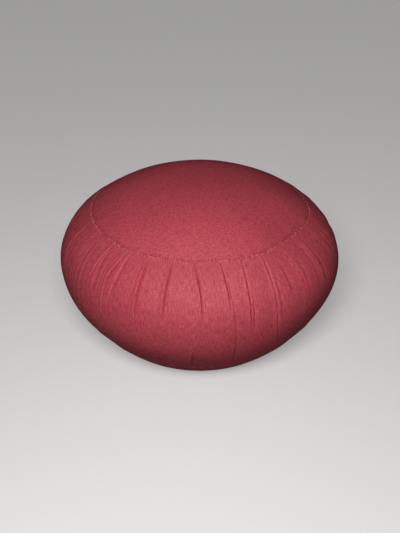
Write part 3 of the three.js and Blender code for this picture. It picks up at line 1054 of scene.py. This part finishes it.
def makeThread():
    look = threadLook
    material, tree, shader = newMaterial("stitchThread")
    place = addNode(tree, "TexCoord").outputs["Object"]
    twist = addNoise(tree, place, look["twistPerMetre"], 2.0).outputs["Fac"]
    glints = addNoise(tree, place, look["glintsPerMetre"], 1.0).outputs["Fac"]
    bump = addNode(tree, "Bump", None, Height=twist, Strength=look["bump"], Distance=look["twistDepth"])
    # painted glints: stitches turn pale at random, in place of the light they would catch
    pale = rescale(tree, glints, *look["glints"])
    setSockets(tree, shader, {
        "Base Color": mixColours(tree, pale, look["dark"], look["pale"]),
        "Roughness": maths(tree, "MULTIPLY_ADD", twist, look["twistRough"], look["roughness"]),
        "Normal": bump.outputs[0],
    })
    return material


bandFinish = makeCotton("roseCottonBand", bandCotton)
panelFinish = makeCotton("roseCottonPanel", panelCotton)
thread = makeThread()
for piece, finish in zip(pieces, (bandFinish, panelFinish, panelFinish, thread, thread)):
    piece.data.materials.append(finish)
print("finishes: cotton, thread")


# Each piece goes on the cushion's body, and the solid parts are hidden
for piece in pieces:
    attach(piece, cushionBody)
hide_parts("pleated_band")
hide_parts("top_panel")
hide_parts("bottom_panel")


# The floor. It is pale to look at, but it throws little light back up at the cushion
floorLook = {
    "halfWidth": 6000.0,  # mm
    "seen": (0.5, 0.49, 0.48, 1),
    "thrown": (0.2, 0.145, 0.145, 1),
    "glow": 0.32,
    "glowColour": (1, 0.99, 0.97, 1),
}


def makeFloor():
    half = floorLook["halfWidth"]
    corners = [(-half, -half, 0), (half, -half, 0), (half, half, 0), (-half, half, 0)]
    floor = makeMesh("floor", corners, [(0, 1, 2, 3)])
    material, tree, shader = newMaterial("paleFloor")
    seen = addNode(tree, "LightPath").outputs["Is Camera Ray"]
    setSockets(tree, shader, {
        "Base Color": mixColours(tree, seen, floorLook["thrown"], floorLook["seen"]),
        "Roughness": 0.9,
        "Specular IOR Level": 0.1,
        "Emission Color": floorLook["glowColour"],
        "Emission Strength": maths(tree, "MULTIPLY", seen, floorLook["glow"]),
    })
    floor.data.materials.append(material)


# Camera and light, in metres and degrees
view = {
    "distance": 1.020,
    "elevation": 29.9,  # from the widest ring of the cushion
    "widestHeight": 0.107,
    "aimX": 0.0005,
    "aimHeight": 0.087,
    "focal": 819.6,  # pixels, across a frame of frameWidth
    "frameWidth": 400,
    "farthest": 50.0,
}
light = {
    "turn": -4.0,  # to the right of the camera
    "elevation": 39.0,
    "distance": 1.03,
    "aimHeight": 0.107,
    "size": 0.36,
    "power": 9.4,
    "sky": 0.005,
    "skyColour": (1, 0.99, 0.98, 1),
}


def addAimed(name, data, turn, elevation, distance, height, target):
    # an object that looks at a target, from a distance, turn and elevation about a height
    t, e = math.radians(turn), math.radians(elevation)
    flat = distance * math.cos(e)
    thing = bpy.data.objects.new(name, data)
    thing.location = (flat * math.sin(t), -flat * math.cos(t), height + distance * math.sin(e))
    thing.rotation_euler = (Vector(target) - thing.location).to_track_quat("-Z", "Y").to_euler()
    bpy.context.scene.collection.objects.link(thing)
    return thing


def makeCamera():
    camera = bpy.data.cameras.new("camera")
    camera.sensor_fit = "HORIZONTAL"
    # the frame is taller than wide, so a horizontal fit keeps its width
    camera.lens = camera.sensor_width * view["focal"] / view["frameWidth"]
    camera.clip_end = view["farthest"]
    bpy.context.scene.camera = addAimed(
        "camera", camera, 0.0, view["elevation"], view["distance"], view["widestHeight"],
        (view["aimX"], 0, view["aimHeight"]),
    )


def makeLights():
    key = bpy.data.lights.new("key", "AREA")
    key.shape = "DISK"
    key.size = light["size"]
    key.energy = light["power"]
    addAimed(
        "key", key, light["turn"], light["elevation"], light["distance"], light["aimHeight"],
        (0, 0, light["aimHeight"]),
    )
    world = bpy.data.worlds.new("studio")
    world.use_nodes = True
    sky = world.node_tree.nodes["Background"].inputs
    sky["Color"].default_value = light["skyColour"]
    sky["Strength"].default_value = light["sky"]
    bpy.context.scene.world = world


makeFloor()
makeCamera()
makeLights()
bpy.context.scene.view_settings.view_transform = "Standard"
print("stage: floor, camera and light")
